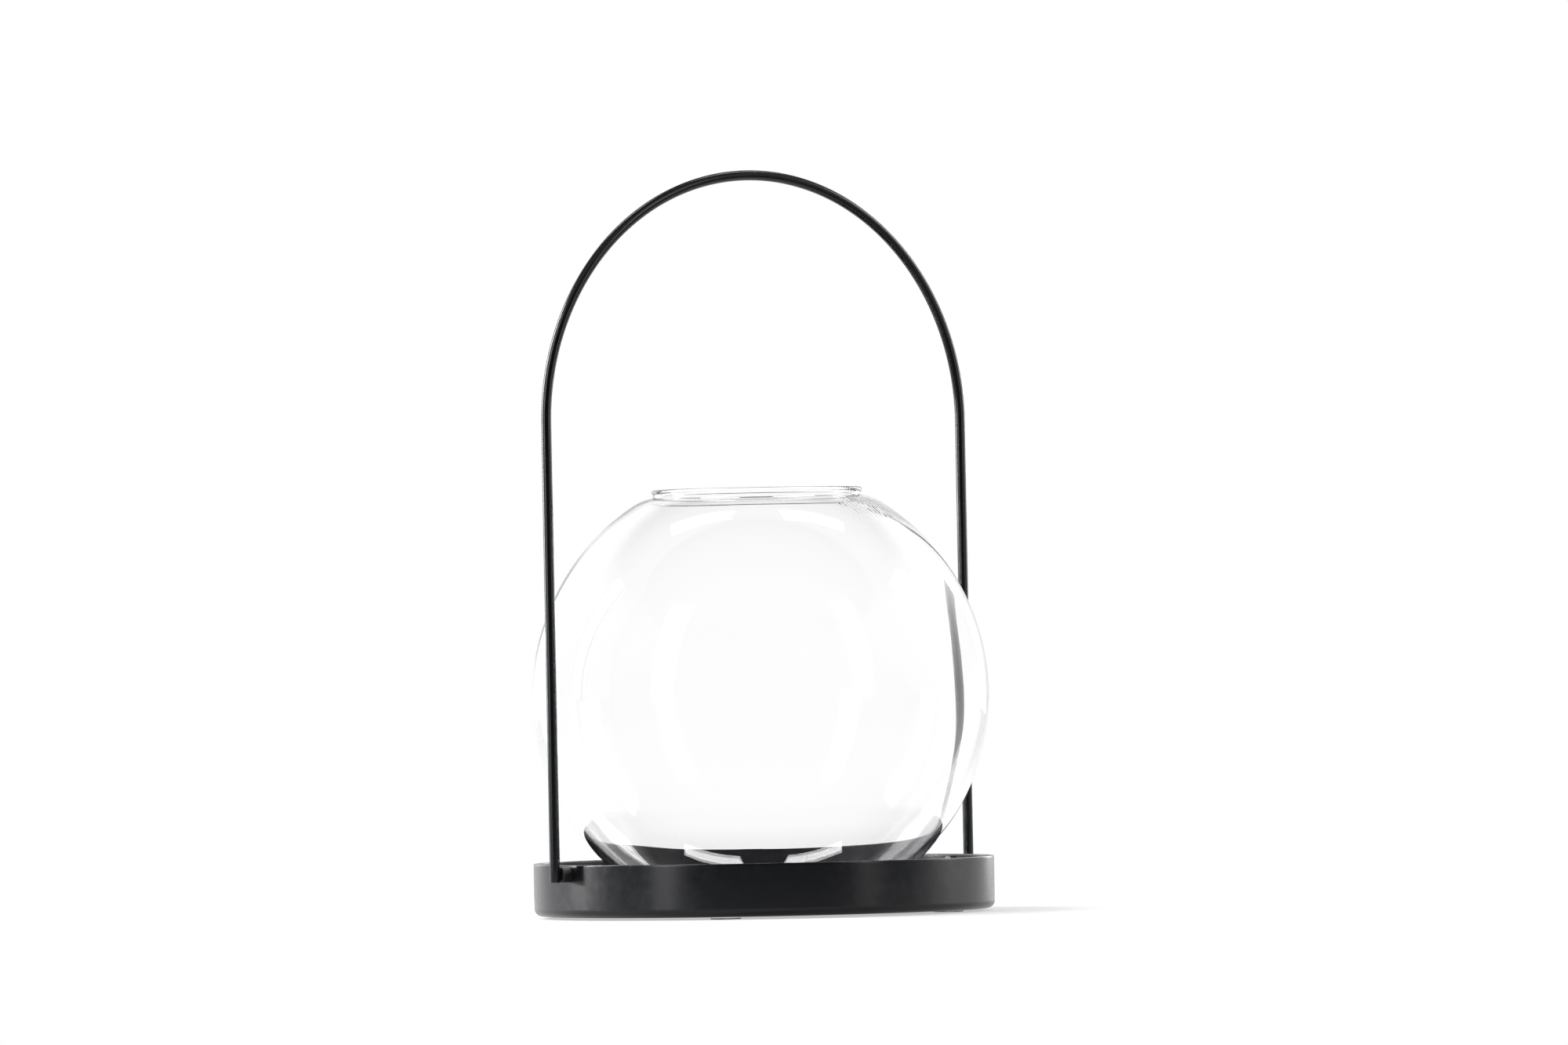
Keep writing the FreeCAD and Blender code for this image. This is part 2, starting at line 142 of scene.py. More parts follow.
class LanternFinish(bpy.types.PropertyGroup):
    """Colours of the finishes."""

    coat_dark: tint("Coat, dark", "Black coat in its darker clouds", (0.0026, 0.0033, 0.0053))
    coat_light: tint("Coat, light", "Black coat in its lighter clouds", (0.0040, 0.0047, 0.0071))
    glass: tint("Glass", "Clear glass", (0.9975, 0.9975, 1.0))
    nylon: tint("Nylon", "Moulded bushes", (0.0055, 0.0055, 0.0060))
    steel: tint("Steel", "Blackened pivot pins", (0.060, 0.060, 0.063))
    rubber: tint("Rubber", "Seat under the globe", (0.016, 0.016, 0.017))
    silicone: tint("Silicone", "Clear foot pads", (0.97, 0.97, 0.97))


class LanternStudio(bpy.types.PropertyGroup):
    """Camera and light."""

    camera_azimuth: turn("Camera azimuth", "Round the lantern from its front, to the right", -33.1)
    camera_distance: size("Camera distance", "From the lantern's axis", 5.0)
    camera_height: size("Camera height", "Above the floor", 103.26 * MM)
    camera_pitch: turn("Camera pitch", "Upward tilt", 0.57)
    camera_yaw: turn("Camera yaw", "Turn away from the axis, to the right", 0.12)
    camera_roll: turn("Camera roll", "Turn of the picture, counter-clockwise", 1.12)
    focal_pixels: level("Focal length", "In pixels of the full picture", 16316.0)
    fill_level: level("Fill", "Light from all round on matt surfaces", 0.16)
    front_level: level("Front", "Dark front of the studio in reflections", 0.04)
    overhead_level: level("Overhead boxes", "Brightness of each overhead softbox", 10.0)
    left_level: level("Left strip", "Brightness of the strip at the front left", 8.0)
    right_level: level("Right strip", "Brightness of the strip at the front right", 3.0)
    side_left_level: level("Left box", "Brightness of the softbox at the left side", 36.0)
    side_right_level: level("Right box", "Brightness of the softbox at the right side", 6.5)
    rear_left_level: level("Rear left box", "Brightness of the softbox behind, at the left", 1.5)
    rear_right_level: level("Rear right box", "Brightness of the softbox behind, at the right", 5.0)


def straight(start, finish, hold):
    """Points on a line after its start, with one held near each end to keep its shading flat."""
    reach = (finish - start).length
    if reach <= 2 * hold:
        return [finish]
    share = hold / reach
    return [start.lerp(finish, share), start.lerp(finish, 1 - share), finish]


def bend(centre, radius, start, finish, step):
    """Points on an arc after its start, about a step apart."""
    count = max(3, math.ceil(abs(finish - start) * radius / step))
    angles = [start + (finish - start) * index / count for index in range(1, count + 1)]
    return [centre + radius * Vector((math.cos(angle), math.sin(angle))) for angle in angles]


def towards(start, finish):
    """Angle of the line from one point to another."""
    return math.atan2(finish.y - start.y, finish.x - start.x)


def lathe(name, outline, steps):
    """Turn an outline of radius and height, which starts and ends on the axis, into a closed mesh."""
    shell = bmesh.new()
    directions = [(math.cos(math.tau * index / steps), math.sin(math.tau * index / steps))
                  for index in range(steps)]
    rings = []
    for point in outline:
        if point.x < 1e-9:
            rings.append([shell.verts.new((0.0, 0.0, point.y))])
            continue
        rings.append([shell.verts.new((point.x * x, point.x * y, point.y)) for x, y in directions])
    for lower, upper in zip(rings, rings[1:]):
        for index in range(steps):
            following = (index + 1) % steps
            corners = [lower[index % len(lower)], lower[following % len(lower)],
                       upper[following % len(upper)], upper[index % len(upper)]]
            shell.faces.new(list(dict.fromkeys(corners)))
    bmesh.ops.recalc_face_normals(shell, faces=shell.faces)
    return to_object(name, shell)


def to_object(name, shell):
    """Put a finished mesh into the scene, smooth except across sharp edges."""
    mesh = bpy.data.meshes.new(name)
    shell.to_mesh(mesh)
    shell.free()
    mesh.shade_smooth()
    mesh.set_sharp_from_angle(angle=SHADE_ANGLE)
    piece = bpy.data.objects.new(name, mesh)
    bpy.context.scene.collection.objects.link(piece)
    return piece


def dress(piece, body, node, material):
    """Hang a piece on its body in place of a node, with its finish."""
    piece.data.materials.append(material)
    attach(piece, body)
    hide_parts(node)


def refinish(node, material):
    """Give a node of the frame a better finish."""
    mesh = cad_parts[node].data
    mesh.materials.clear()
    mesh.materials.append(material)


class Wiring:
    """A node tree under construction, with short ways to add to it."""

    def __init__(self, tree):
        self.nodes = tree.nodes
        self.links = tree.links

    def feed(self, socket, value):
        """Lead an output or a constant into a socket."""
        if isinstance(value, bpy.types.NodeSocket):
            self.links.new(value, socket)
        else:
            socket.default_value = value

    def reckon(self, operation, *values):
        """A number worked out from others."""
        node = self.nodes.new("ShaderNodeMath")
        node.operation = operation
        for socket, value in zip(node.inputs, values):
            self.feed(socket, value)
        return node.outputs["Value"]

    def ramp(self, value, low, high, start, finish, eased=True):
        """A number that goes from start to finish while a value goes from low to high."""
        node = self.nodes.new("ShaderNodeMapRange")
        node.interpolation_type = "SMOOTHSTEP" if eased else "LINEAR"
        node.inputs["From Min"].default_value = low
        node.inputs["From Max"].default_value = high
        node.inputs["To Min"].default_value = start
        node.inputs["To Max"].default_value = finish
        self.links.new(value, node.inputs["Value"])
        return node.outputs["Result"]

    def either(self, factor, first, second):
        """The first number where a factor is 0, the second where it is 1."""
        node = self.nodes.new("ShaderNodeMix")
        for name, value in (("Factor", factor), ("A", first), ("B", second)):
            self.feed(node.inputs[name], value)
        return node.outputs["Result"]

    def along(self, place, direction):
        """How far a place lies along a direction."""
        node = self.nodes.new("ShaderNodeVectorMath")
        node.operation = "DOT_PRODUCT"
        node.inputs[1].default_value = direction
        self.links.new(place, node.inputs[0])
        return node.outputs["Value"]

    def height(self, place):
        """How high a place lies."""
        node = self.nodes.new("ShaderNodeSeparateXYZ")
        self.links.new(place, node.inputs["Vector"])
        return node.outputs["Z"]

    def plain_view(self, rays):
        """1 for what the camera sees straight on or through glass, 0 for mirror images and for lighting."""
        seen = self.reckon("MAXIMUM", rays["Is Camera Ray"], rays["Is Transmission Ray"])
        unmirrored = self.reckon("LESS_THAN", rays["Glossy Depth"], 0.5)
        return self.reckon("MULTIPLY", seen, unmirrored)


class Finish(Wiring):
    """A material under construction: its shader and the patterns that vary it."""

    def __init__(self, name):
        self.material = bpy.data.materials.new(name)
        self.material.use_nodes = True
        super().__init__(self.material.node_tree)
        self.shader = self.nodes["Principled BSDF"]
        self.place = self.nodes.new("ShaderNodeTexCoord").outputs["Object"]

    def set(self, **values):
        """Set the shader's sockets, named with underscores for spaces."""
        for name, value in values.items():
            self.shader.inputs[name.replace("_", " ")].default_value = value

    def stretched(self, scale):
        """The place on the piece, stretched along its axes."""
        mapping = self.nodes.new("ShaderNodeMapping")
        mapping.inputs["Scale"].default_value = scale
        self.links.new(self.place, mapping.inputs["Vector"])
        return mapping.outputs["Vector"]

    def clouds(self, spot, detail=3.0, place=None):
        """Cloudy pattern with spots of about a width."""
        texture = self.nodes.new("ShaderNodeTexNoise")
        texture.inputs["Scale"].default_value = 1 / spot
        texture.inputs["Detail"].default_value = detail
        self.links.new(place or self.place, texture.inputs["Vector"])
        return texture.outputs["Fac"]

    def spread(self, pattern, start, finish):
        """A pattern's middle range, spread from one number to another."""
        return self.ramp(pattern, low=0.3, high=0.7, start=start, finish=finish, eased=False)

    def climb(self, low, high, below, above):
        """A number that eases from one to another between two heights on the piece."""
        return self.ramp(self.height(self.place), low, high, below, above)

    def pleats(self, count, bearing, near, far, low, high):
        """Pleats round the axis, rising to full from near to far on one side and from low to high."""
        angle = self.nodes.new("ShaderNodeTexGradient")
        angle.gradient_type = "RADIAL"
        self.links.new(self.place, angle.inputs["Vector"])
        wander = self.spread(self.clouds(spot=7 * MM), start=0.0, finish=5.0)
        phase = self.reckon("MULTIPLY_ADD", angle.outputs["Fac"], math.tau * count, wander)
        aside = self.along(self.place, (math.cos(bearing), math.sin(bearing), 0.0))
        beside = self.ramp(aside, near, far, 0.0, 1.0, eased=False)
        pleated = self.reckon("MULTIPLY", self.reckon("SINE", phase), beside)
        return self.reckon("MULTIPLY", pleated, self.climb(low, high, 0.0, 1.0))

    def colour(self, pattern, dark, light):
        """Let a pattern move the colour between two tones."""
        node = self.nodes.new("ShaderNodeMix")
        node.data_type = "RGBA"
        for socket in node.inputs:
            if socket.name in ("A", "B") and socket.type == "RGBA":
                tone = dark if socket.name == "A" else light
                socket.default_value = (*tone, 1.0)
        self.links.new(self.spread(pattern, 0.0, 1.0), node.inputs["Factor"])
        mixed = [socket for socket in node.outputs if socket.type == "RGBA"][0]
        self.links.new(mixed, self.shader.inputs["Base Color"])

    def roughness(self, pattern, smooth, rough):
        """Let a pattern move the roughness between two numbers."""
        self.links.new(self.spread(pattern, smooth, rough), self.shader.inputs["Roughness"])

    def relief(self, *layers):
        """Raise patterns one over another, each with its height in metres."""
        normal = None
        for pattern, height in layers:
            bump = self.nodes.new("ShaderNodeBump")
            bump.inputs["Strength"].default_value = 1.0
            bump.inputs["Distance"].default_value = height
            self.links.new(pattern, bump.inputs["Height"])
            if normal:
                self.links.new(normal, bump.inputs["Normal"])
            normal = bump.outputs["Normal"]
        self.links.new(normal, self.shader.inputs["Normal"])


def shade(colour, factor):
    """A colour made lighter or darker."""
    return tuple(channel * factor for channel in colour)


def black_coat(finish):
    """Satin black powder coat: soft clouds, orange peel and a fine grain."""
    made = Finish("black_powder_coat")
    made.colour(made.clouds(spot=35 * MM), finish.coat_dark, finish.coat_light)
    made.roughness(made.clouds(spot=4 * MM), smooth=0.21, rough=0.28)
    made.relief((made.clouds(spot=1.1 * MM, detail=2.0), 0.003 * MM))
    made.set(Specular_IOR_Level=0.42)
    return made.material


def clear_glass(finish, sizes):
    """Clear blown glass: all but smooth, with faint drawn-out waves and wrinkles beside the collar."""
    made = Finish("clear_blown_glass")
    made.set(Base_Color=(*finish.glass, 1.0), Transmission_Weight=1.0, IOR=1.47)
    # Mirror images are plain low down, against the black tray, and faint above it.
    mirror = made.climb(low=27 * MM, high=33 * MM, below=0.8, above=0.10)
    made.links.new(mirror, made.shader.inputs["Specular Tint"])
    made.roughness(made.clouds(spot=18 * MM), smooth=0.0, rough=0.012)
    drawn = made.stretched((1.0, 1.0, 3.0))
    collar = GLOBE_HIGH.z - sizes.collar_height
    wrinkles = made.pleats(count=140, bearing=sizes.wrinkle_bearing, near=30 * MM, far=40 * MM,
                           low=collar - 13 * MM, high=collar - 5 * MM)
    waves = made.clouds(spot=40 * MM, detail=2.0, place=drawn)
    made.relief((waves, 0.02 * MM), (wrinkles, sizes.wrinkle))
    return made.material


def moulded_nylon(finish):
    """Black moulded nylon: faint flow clouds and a spark-eroded grain."""
    made = Finish("black_nylon")
    made.colour(made.clouds(spot=2 * MM), shade(finish.nylon, 0.8), shade(finish.nylon, 1.3))
    made.roughness(made.clouds(spot=0.6 * MM), smooth=0.38, rough=0.50)
    made.relief((made.clouds(spot=0.15 * MM, detail=2.0), 0.004 * MM))
    return made.material


def blackened_steel(finish):
    """Blackened steel: turned lines round the pin and uneven blacking."""
    made = Finish("blackened_steel")
    made.colour(made.clouds(spot=1.2 * MM), shade(finish.steel, 0.7), shade(finish.steel, 1.4))
    made.set(Metallic=1.0)
    made.roughness(made.clouds(spot=0.5 * MM), smooth=0.30, rough=0.45)
    turned = made.stretched((12.0, 1.0, 1.0))
    made.relief((made.clouds(spot=0.8 * MM, detail=2.0, place=turned), 0.004 * MM))
    return made.material


def soft_rubber(finish):
    """Black silicone rubber: matt, with a dusty bloom and a fine moulded grain."""
    made = Finish("soft_rubber")
    made.colour(made.clouds(spot=9 * MM), shade(finish.rubber, 0.8), shade(finish.rubber, 1.5))
    made.roughness(made.clouds(spot=3 * MM), smooth=0.62, rough=0.80)
    made.relief((made.clouds(spot=0.4 * MM, detail=2.0), 0.010 * MM))
    return made.material


def clear_silicone(finish):
    """Soft clear silicone: glossy, with faint flow clouds."""
    made = Finish("clear_silicone")
    made.colour(made.clouds(spot=3 * MM), shade(finish.silicone, 0.95), finish.silicone)
    made.set(Transmission_Weight=1.0, IOR=1.41)
    made.roughness(made.clouds(spot=1 * MM), smooth=0.02, rough=0.06)
    made.relief((made.clouds(spot=3 * MM, detail=2.0), 0.006 * MM))
    return made.material


def coat_for(context):
    """The black coat, made once for the tray and the handle."""
    known = bpy.data.materials.get("black_powder_coat")
    return known or black_coat(context.scene.lantern_finish)


def tray_outline(sizes):
    """Tray in section: flat floor, bend, upright rim with rounded top edges."""
    low = TRAY_LOW.z
    top = TRAY_HIGH.z
    outer = sizes.tray_radius
    sheet = sizes.tray_sheet
    inner = outer - sheet
    outer_bend = sizes.tray_bend + sheet
    corner = Vector((outer - outer_bend, low + outer_bend))
    edge = sizes.rim_round
    hold = 0.5 * MM
    hole_margin = 0.3 * MM
    above_hole = PIVOT_HEIGHT + sizes.bush_hole + hole_margin
    below_hole = PIVOT_HEIGHT - sizes.bush_hole - hole_margin
    outer_step = 0.3 * MM
    inner_step = 0.2 * MM
    edge_step = 0.1 * MM
    quarter = math.pi / 2
    points = [Vector((0.0, low))]
    points += straight(points[-1], Vector((corner.x, low)), hold)
    points += bend(corner, outer_bend, -quarter, 0.0, outer_step)
    for height in (below_hole, above_hole, top - edge):
        points += straight(points[-1], Vector((outer, height)), hold)
    points += bend(Vector((outer - edge, top - edge)), edge, 0.0, quarter, edge_step)
    points += straight(points[-1], Vector((inner + edge, top)), hold)
    points += bend(Vector((inner + edge, top - edge)), edge, quarter, 2 * quarter, edge_step)
    for height in (above_hole, below_hole, corner.y):
        points += straight(points[-1], Vector((inner, height)), hold)
    points += bend(corner, sizes.tray_bend, 0.0, -quarter, inner_step)
    points += straight(points[-1], Vector((0.0, low + sheet)), hold)
    return points


class LANTERN_OT_tray(bpy.types.Operator):
    """Press the black tray and punch its two bush holes"""

    bl_idname = "lantern.tray"
    bl_label = "Tray"

    def execute(self, context):
        sizes = context.scene.lantern_sizes
        tray = lathe("tray", tray_outline(sizes), ROUND_STEPS)
        past_rim = 10 * MM
        drill = bmesh.new()
        along = Matrix.Translation((0.0, 0.0, PIVOT_HEIGHT)) @ Matrix.Rotation(math.pi / 2, 4, "Y")
        bmesh.ops.create_cone(drill, cap_ends=True, segments=WIRE_STEPS, radius1=sizes.bush_hole,
                              radius2=sizes.bush_hole, depth=2 * (TRAY_HIGH.x + past_rim), matrix=along)
        cutter = to_object("bush_hole_drill", drill)
        cut = tray.modifiers.new("bush_holes", "BOOLEAN")
        cut.operation = "DIFFERENCE"
        cut.solver = "EXACT"
        cut.object = cutter
        punched = bpy.data.meshes.new_from_object(tray.evaluated_get(context.evaluated_depsgraph_get()))
        tray.modifiers.clear()
        tray.data = punched
        bpy.data.objects.remove(cutter)
        dress(tray, "base", "base_tray", coat_for(context))
        return {"FINISHED"}


def widest_height(sizes):
    """Height of the globe's widest point, which is the middle of its round body."""
    reach = sizes.globe_radius - sizes.foot_blend
    return GLOBE_LOW.z + sizes.foot_blend + math.sqrt(reach ** 2 - sizes.foot_radius ** 2)


def globe_outline(sizes):
    """Globe in section, from the middle underneath, up the outside and back down the inside."""
    quarter = math.pi / 2
    base = GLOBE_LOW.z
    radius = sizes.globe_radius
    wall = sizes.globe_wall
    foot = Vector((sizes.foot_radius, base + sizes.foot_blend))
    centre = Vector((0.0, widest_height(sizes)))
    recess_edge = sizes.foot_radius - sizes.recess_width
    recess_radius = (recess_edge ** 2 + sizes.recess_depth ** 2) / (2 * sizes.recess_depth)
    recess = Vector((0.0, base + sizes.recess_depth - recess_radius))
    start = sizes.shoulder_angle
    shoulder = centre + (radius - sizes.shoulder_radius) * Vector((math.cos(start), math.sin(start)))
    neck_x = sizes.neck_radius + sizes.neck_blend
    reach = sizes.shoulder_radius + sizes.neck_blend
    neck = Vector((neck_x, shoulder.y + math.sqrt(reach ** 2 - (neck_x - shoulder.x) ** 2)))
    turn_in = towards(shoulder, neck)
    lip_round = (wall + sizes.lip_flare) / 2
    lip = Vector((sizes.neck_radius + sizes.lip_flare - lip_round, neck.y + sizes.collar_height - lip_round))
    inner = radius - wall
    drop = centre.y - base - sizes.foot_wall - sizes.floor_blend
    floor = Vector((math.sqrt((inner - sizes.floor_blend) ** 2 - drop ** 2), centre.y - drop))
    # The upper part of the body has finer steps, and the lip has the finest.
    fine_stretch = 12 * MM
    high = start - fine_stretch / radius
    recess_step = 2 * MM
    coarse = 1.2 * MM
    fine = 0.35 * MM
    tiny = 0.2 * MM
    foot_hold = 0.3 * MM
    floor_hold = 0.5 * MM
    points = [Vector((0.0, base + sizes.recess_depth))]
    points += bend(recess, recess_radius, quarter, math.acos(recess_edge / recess_radius), recess_step)
    points += straight(points[-1], Vector((foot.x, base)), foot_hold)
    points += bend(foot, sizes.foot_blend, -quarter, towards(centre, foot), fine)
    points += bend(centre, radius, towards(centre, foot), high, coarse)
    points += bend(centre, radius, high, start, fine)
    points += bend(shoulder, sizes.shoulder_radius, start, turn_in, fine)
    points += bend(neck, sizes.neck_blend, turn_in + math.pi, math.pi, tiny)
    points += straight(points[-1], Vector((lip.x + lip_round, lip.y)), tiny)
    points += bend(lip, lip_round, 0.0, math.pi, tiny)
    points += straight(points[-1], Vector((sizes.neck_radius - wall, neck.y)), tiny)
    points += bend(neck, sizes.neck_blend + wall, math.pi, turn_in + math.pi, tiny)
    points += bend(shoulder, sizes.shoulder_radius - wall, turn_in, start, fine)
    points += bend(centre, inner, start, high, fine)
    points += bend(centre, inner, high, towards(centre, floor), coarse)
    points += bend(floor, sizes.floor_blend, towards(centre, floor), -quarter, fine)
    points += straight(points[-1], Vector((0.0, base + sizes.foot_wall)), floor_hold)
    return points


def smooth_step(low, high, number):
    """0 at one number, 1 at the other, easing in between and level beyond."""
    share = min(1.0, max(0.0, (number - low) / (high - low)))
    return share * share * (3 - 2 * share)


def blow(globe, sizes):
    """Give turned glass its pooled lower wall and the slow waves of blowing."""
    foot_top = GLOBE_LOW.z + sizes.foot_blend
    above_recess = GLOBE_LOW.z + 2 * MM
    waves_full = foot_top + 30 * MM
    pool_full = foot_top + 5 * MM
    widest = widest_height(sizes)
    mid_wall = sizes.globe_radius - sizes.globe_wall / 2
    wave_length = 38 * MM
    moved = []
    for vertex in globe.data.vertices:
        spot = vertex.co
        free = smooth_step(foot_top, waves_full, spot.z)
        wave = noise.noise(spot / wave_length) * sizes.glass_wave * free
        inside = math.hypot(spot.x, spot.y, spot.z - widest) < mid_wall and spot.z > above_recess
        pool = sizes.glass_pool * smooth_step(widest, pool_full, spot.z) if inside else 0.0
        moved.append(spot + vertex.normal * (wave + pool))
    for vertex, spot in zip(globe.data.vertices, moved):
        vertex.co = spot


class LANTERN_OT_globe(bpy.types.Operator):
    """Blow the clear glass globe"""

    bl_idname = "lantern.globe"
    bl_label = "Glass globe"

    def execute(self, context):
        sizes = context.scene.lantern_sizes
        globe = lathe("globe", globe_outline(sizes), ROUND_STEPS)
        blow(globe, sizes)
        dress(globe, "globe", "glass_globe", clear_glass(context.scene.lantern_finish, sizes))
        # Light passes the clear glass to the tray and the floor.
        globe.visible_shadow = False
        globe.visible_diffuse = False
        return {"FINISHED"}


def handle_route(sizes):
    """Stations along the wire from one cut end to the other: place, direction and share of the radius."""
    leg_steps = 24
    arch_steps = 120
    offset = HANDLE_HIGH.x - sizes.wire_radius
    spring = HANDLE_HIGH.z - sizes.wire_radius - offset
    end = HANDLE_LOW.z
    edge = sizes.wire_round
    end_step = 15
    ease = [math.radians(angle) for angle in range(0, 91, end_step)]
    rounds = [(edge * (1 - math.sin(angle)), 1 - edge / sizes.wire_radius * (1 - math.cos(angle)))
              for angle in reversed(ease)]
    up = Vector((0.0, 0.0, 1.0))
    stations = [(Vector((offset, 0.0, end + height)), up, share) for height, share in rounds]
    for index in range(1, leg_steps):
        stations.append((Vector((offset, 0.0, end + (spring - end) * index / leg_steps)), up, 1.0))
    for index in range(arch_steps + 1):
        angle = math.pi * index / arch_steps
        spoke = Vector((math.cos(angle), 0.0, math.sin(angle)))
        along = Vector((-math.sin(angle), 0.0, math.cos(angle)))
        stations.append((Vector((0.0, 0.0, spring)) + offset * spoke, along, 1.0))
    mirrored = [(Vector((-place.x, 0.0, place.z)), -up, share) for place, _, share in reversed(stations)
                if place.z < spring - 1e-6]
    return stations + mirrored


class LANTERN_OT_handle(bpy.types.Operator):
    """Bend the wire handle, with rounded cut ends"""

    bl_idname = "lantern.handle"
    bl_label = "Handle"

    def execute(self, context):
        sizes = context.scene.lantern_sizes
        shell = bmesh.new()
        across = Vector((0.0, 1.0, 0.0))
        rings = []
        for place, along, share in handle_route(sizes):
            side = across.cross(along).normalized()
            reach = sizes.wire_radius * share
            ring = []
            for index in range(WIRE_STEPS):
                angle = math.tau * index / WIRE_STEPS
                spoke = math.cos(angle) * side + math.sin(angle) * across
                ring.append(shell.verts.new(place + reach * spoke))
            rings.append(ring)
        for first, second in zip(rings, rings[1:]):
            for index in range(WIRE_STEPS):
                following = (index + 1) % WIRE_STEPS
                shell.faces.new((first[index], first[following], second[following], second[index]))
        shell.faces.new(rings[0])
        shell.faces.new(rings[-1])
        bmesh.ops.recalc_face_normals(shell, faces=shell.faces)
        handle = to_object("wire_handle", shell)
        dress(handle, "handle", "handle", coat_for(context))
        return {"FINISHED"}


class LANTERN_OT_pivots(bpy.types.Operator):
    """Finish the bushes and pins that the handle swings on"""

    bl_idname = "lantern.pivots"
    bl_label = "Pivots"

    def execute(self, context):
        finish = context.scene.lantern_finish
        nylon = moulded_nylon(finish)
        steel = blackened_steel(finish)
        for side in ("left", "right"):
            refinish(f"{side}_bush", nylon)
            refinish(f"{side}_pivot_pin", steel)
        return {"FINISHED"}


class LANTERN_OT_pads(bpy.types.Operator):
    """Finish the seat under the globe and the pads under the tray"""

    bl_idname = "lantern.pads"
    bl_label = "Seat and pads"

    def execute(self, context):
        finish = context.scene.lantern_finish
        refinish("seat_pad", soft_rubber(finish))
        silicone = clear_silicone(finish)
        for node in sorted(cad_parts):
            if node.startswith("foot_pad"):
                refinish(node, silicone)
        return {"FINISHED"}


def studio_direction(studio, azimuth, elevation):
    """Direction from the lantern, with the azimuth counted from the camera, to its right."""
    angle = studio.camera_azimuth + math.radians(azimuth)
    height = math.radians(elevation)
    flat = Vector((math.sin(angle), -math.cos(angle), 0.0))
    return flat * math.cos(height) + Vector((0.0, 0.0, math.sin(height)))


def softbox(studio, name, brightness, azimuth, elevation, distance, width, height, roll=0):
    """Rectangular lamp that faces the lantern, unseen by the camera. Angles are in degrees."""
    lamp = bpy.data.lights.new(name, "AREA")
    lamp.shape = "RECTANGLE"
    lamp.size = width
    lamp.size_y = height
    lamp.energy = brightness * math.pi * width * height
    away = studio_direction(studio, azimuth, elevation)
    rolled = Quaternion((0.0, 0.0, 1.0), math.radians(roll))
    box = bpy.data.objects.new(name, lamp)
    box.location = (CAD_BOX[0] + CAD_BOX[1]) / 2 + away * distance
    box.rotation_mode = "QUATERNION"
    box.rotation_quaternion = away.to_track_quat("Z", "Y") @ rolled
    box.visible_camera = False
    bpy.context.scene.collection.objects.link(box)


def softboxes(studio):
    """All the lamps of the studio. The overhead pair is rolled, which slants its images in the glass."""
    for name, side in (("overhead_left", -1), ("overhead_right", 1)):
        softbox(studio, name, studio.overhead_level, azimuth=side * 132, elevation=66, distance=1.1,
                width=0.14, height=0.40, roll=side * -26)
    softbox(studio, "rear_left", studio.rear_left_level, azimuth=-152, elevation=12, distance=1.5,
            width=0.5, height=0.9)
    softbox(studio, "rear_right", studio.rear_right_level, azimuth=151, elevation=12, distance=1.5,
            width=0.3, height=0.9)
    softbox(studio, "front_left", studio.left_level, azimuth=-49, elevation=18, distance=1.2,
            width=0.25, height=1.0)
    softbox(studio, "front_right", studio.right_level, azimuth=52, elevation=18, distance=1.2,
            width=0.25, height=1.0)
    softbox(studio, "side_left", studio.side_left_level, azimuth=-102, elevation=18, distance=1.4,
            width=0.28, height=1.0)
    softbox(studio, "side_right", studio.side_right_level, azimuth=105, elevation=18, distance=1.4,
            width=0.36, height=1.0)


def studio_world(studio):
    """White for the camera and through glass; a studio with a dark front and ceiling in reflections."""
    world = bpy.data.worlds.new("studio")
    bpy.context.scene.world = world
    world.use_nodes = True
    world.cycles.sampling_method = "NONE"
    made = Wiring(world.node_tree)
    rays = made.nodes.new("ShaderNodeLightPath").outputs
    direction = made.nodes.new("ShaderNodeTexCoord").outputs["Generated"]
    facing = made.along(direction, studio_direction(studio, 0, 0))
    height = made.height(direction)
    # Brightness of the walls from the back of the studio, at 0, to its front, at 1.
    stops = [(0.0, 1.0), (0.45, 1.0), (0.62, 0.45), (0.80, studio.front_level), (1.0, studio.front_level)]
    walls = made.nodes.new("ShaderNodeValToRGB")
    walls.color_ramp.interpolation = "EASE"
    for _ in range(len(stops) - 2):
        walls.color_ramp.elements.new(0.5)
    for element, (position, brightness) in zip(walls.color_ramp.elements, stops):
        element.position = position
        element.color = (brightness, brightness, brightness, 1.0)
    forward = made.ramp(facing, low=-1.0, high=1.0, start=0.0, finish=1.0, eased=False)
    made.links.new(forward, walls.inputs["Fac"])
    # The walls end in a dark ceiling, and a paler screen hangs high over the front.
    ceiling = made.ramp(height, low=0.52, high=0.68, start=1.0, finish=0.12)
    low_walls = made.reckon("MULTIPLY", walls.outputs["Color"], ceiling)
    front = made.ramp(facing, low=0.15, high=0.45, start=0.0, finish=1.0)
    screen_foot = made.ramp(height, low=0.55, high=0.70, start=0.0, finish=0.6)
    screen_top = made.ramp(height, low=0.86, high=0.94, start=1.0, finish=0.1)
    screen = made.reckon("MULTIPLY", front, made.reckon("MULTIPLY", screen_foot, screen_top))
    room = made.reckon("MAXIMUM", low_walls, screen)
    mirrored = made.either(rays["Is Glossy Ray"], studio.fill_level, room)
    background = made.nodes["Background"]
    background.inputs["Color"].default_value = WHITE
    made.links.new(made.either(made.plain_view(rays), mirrored, 1.0), background.inputs["Strength"])


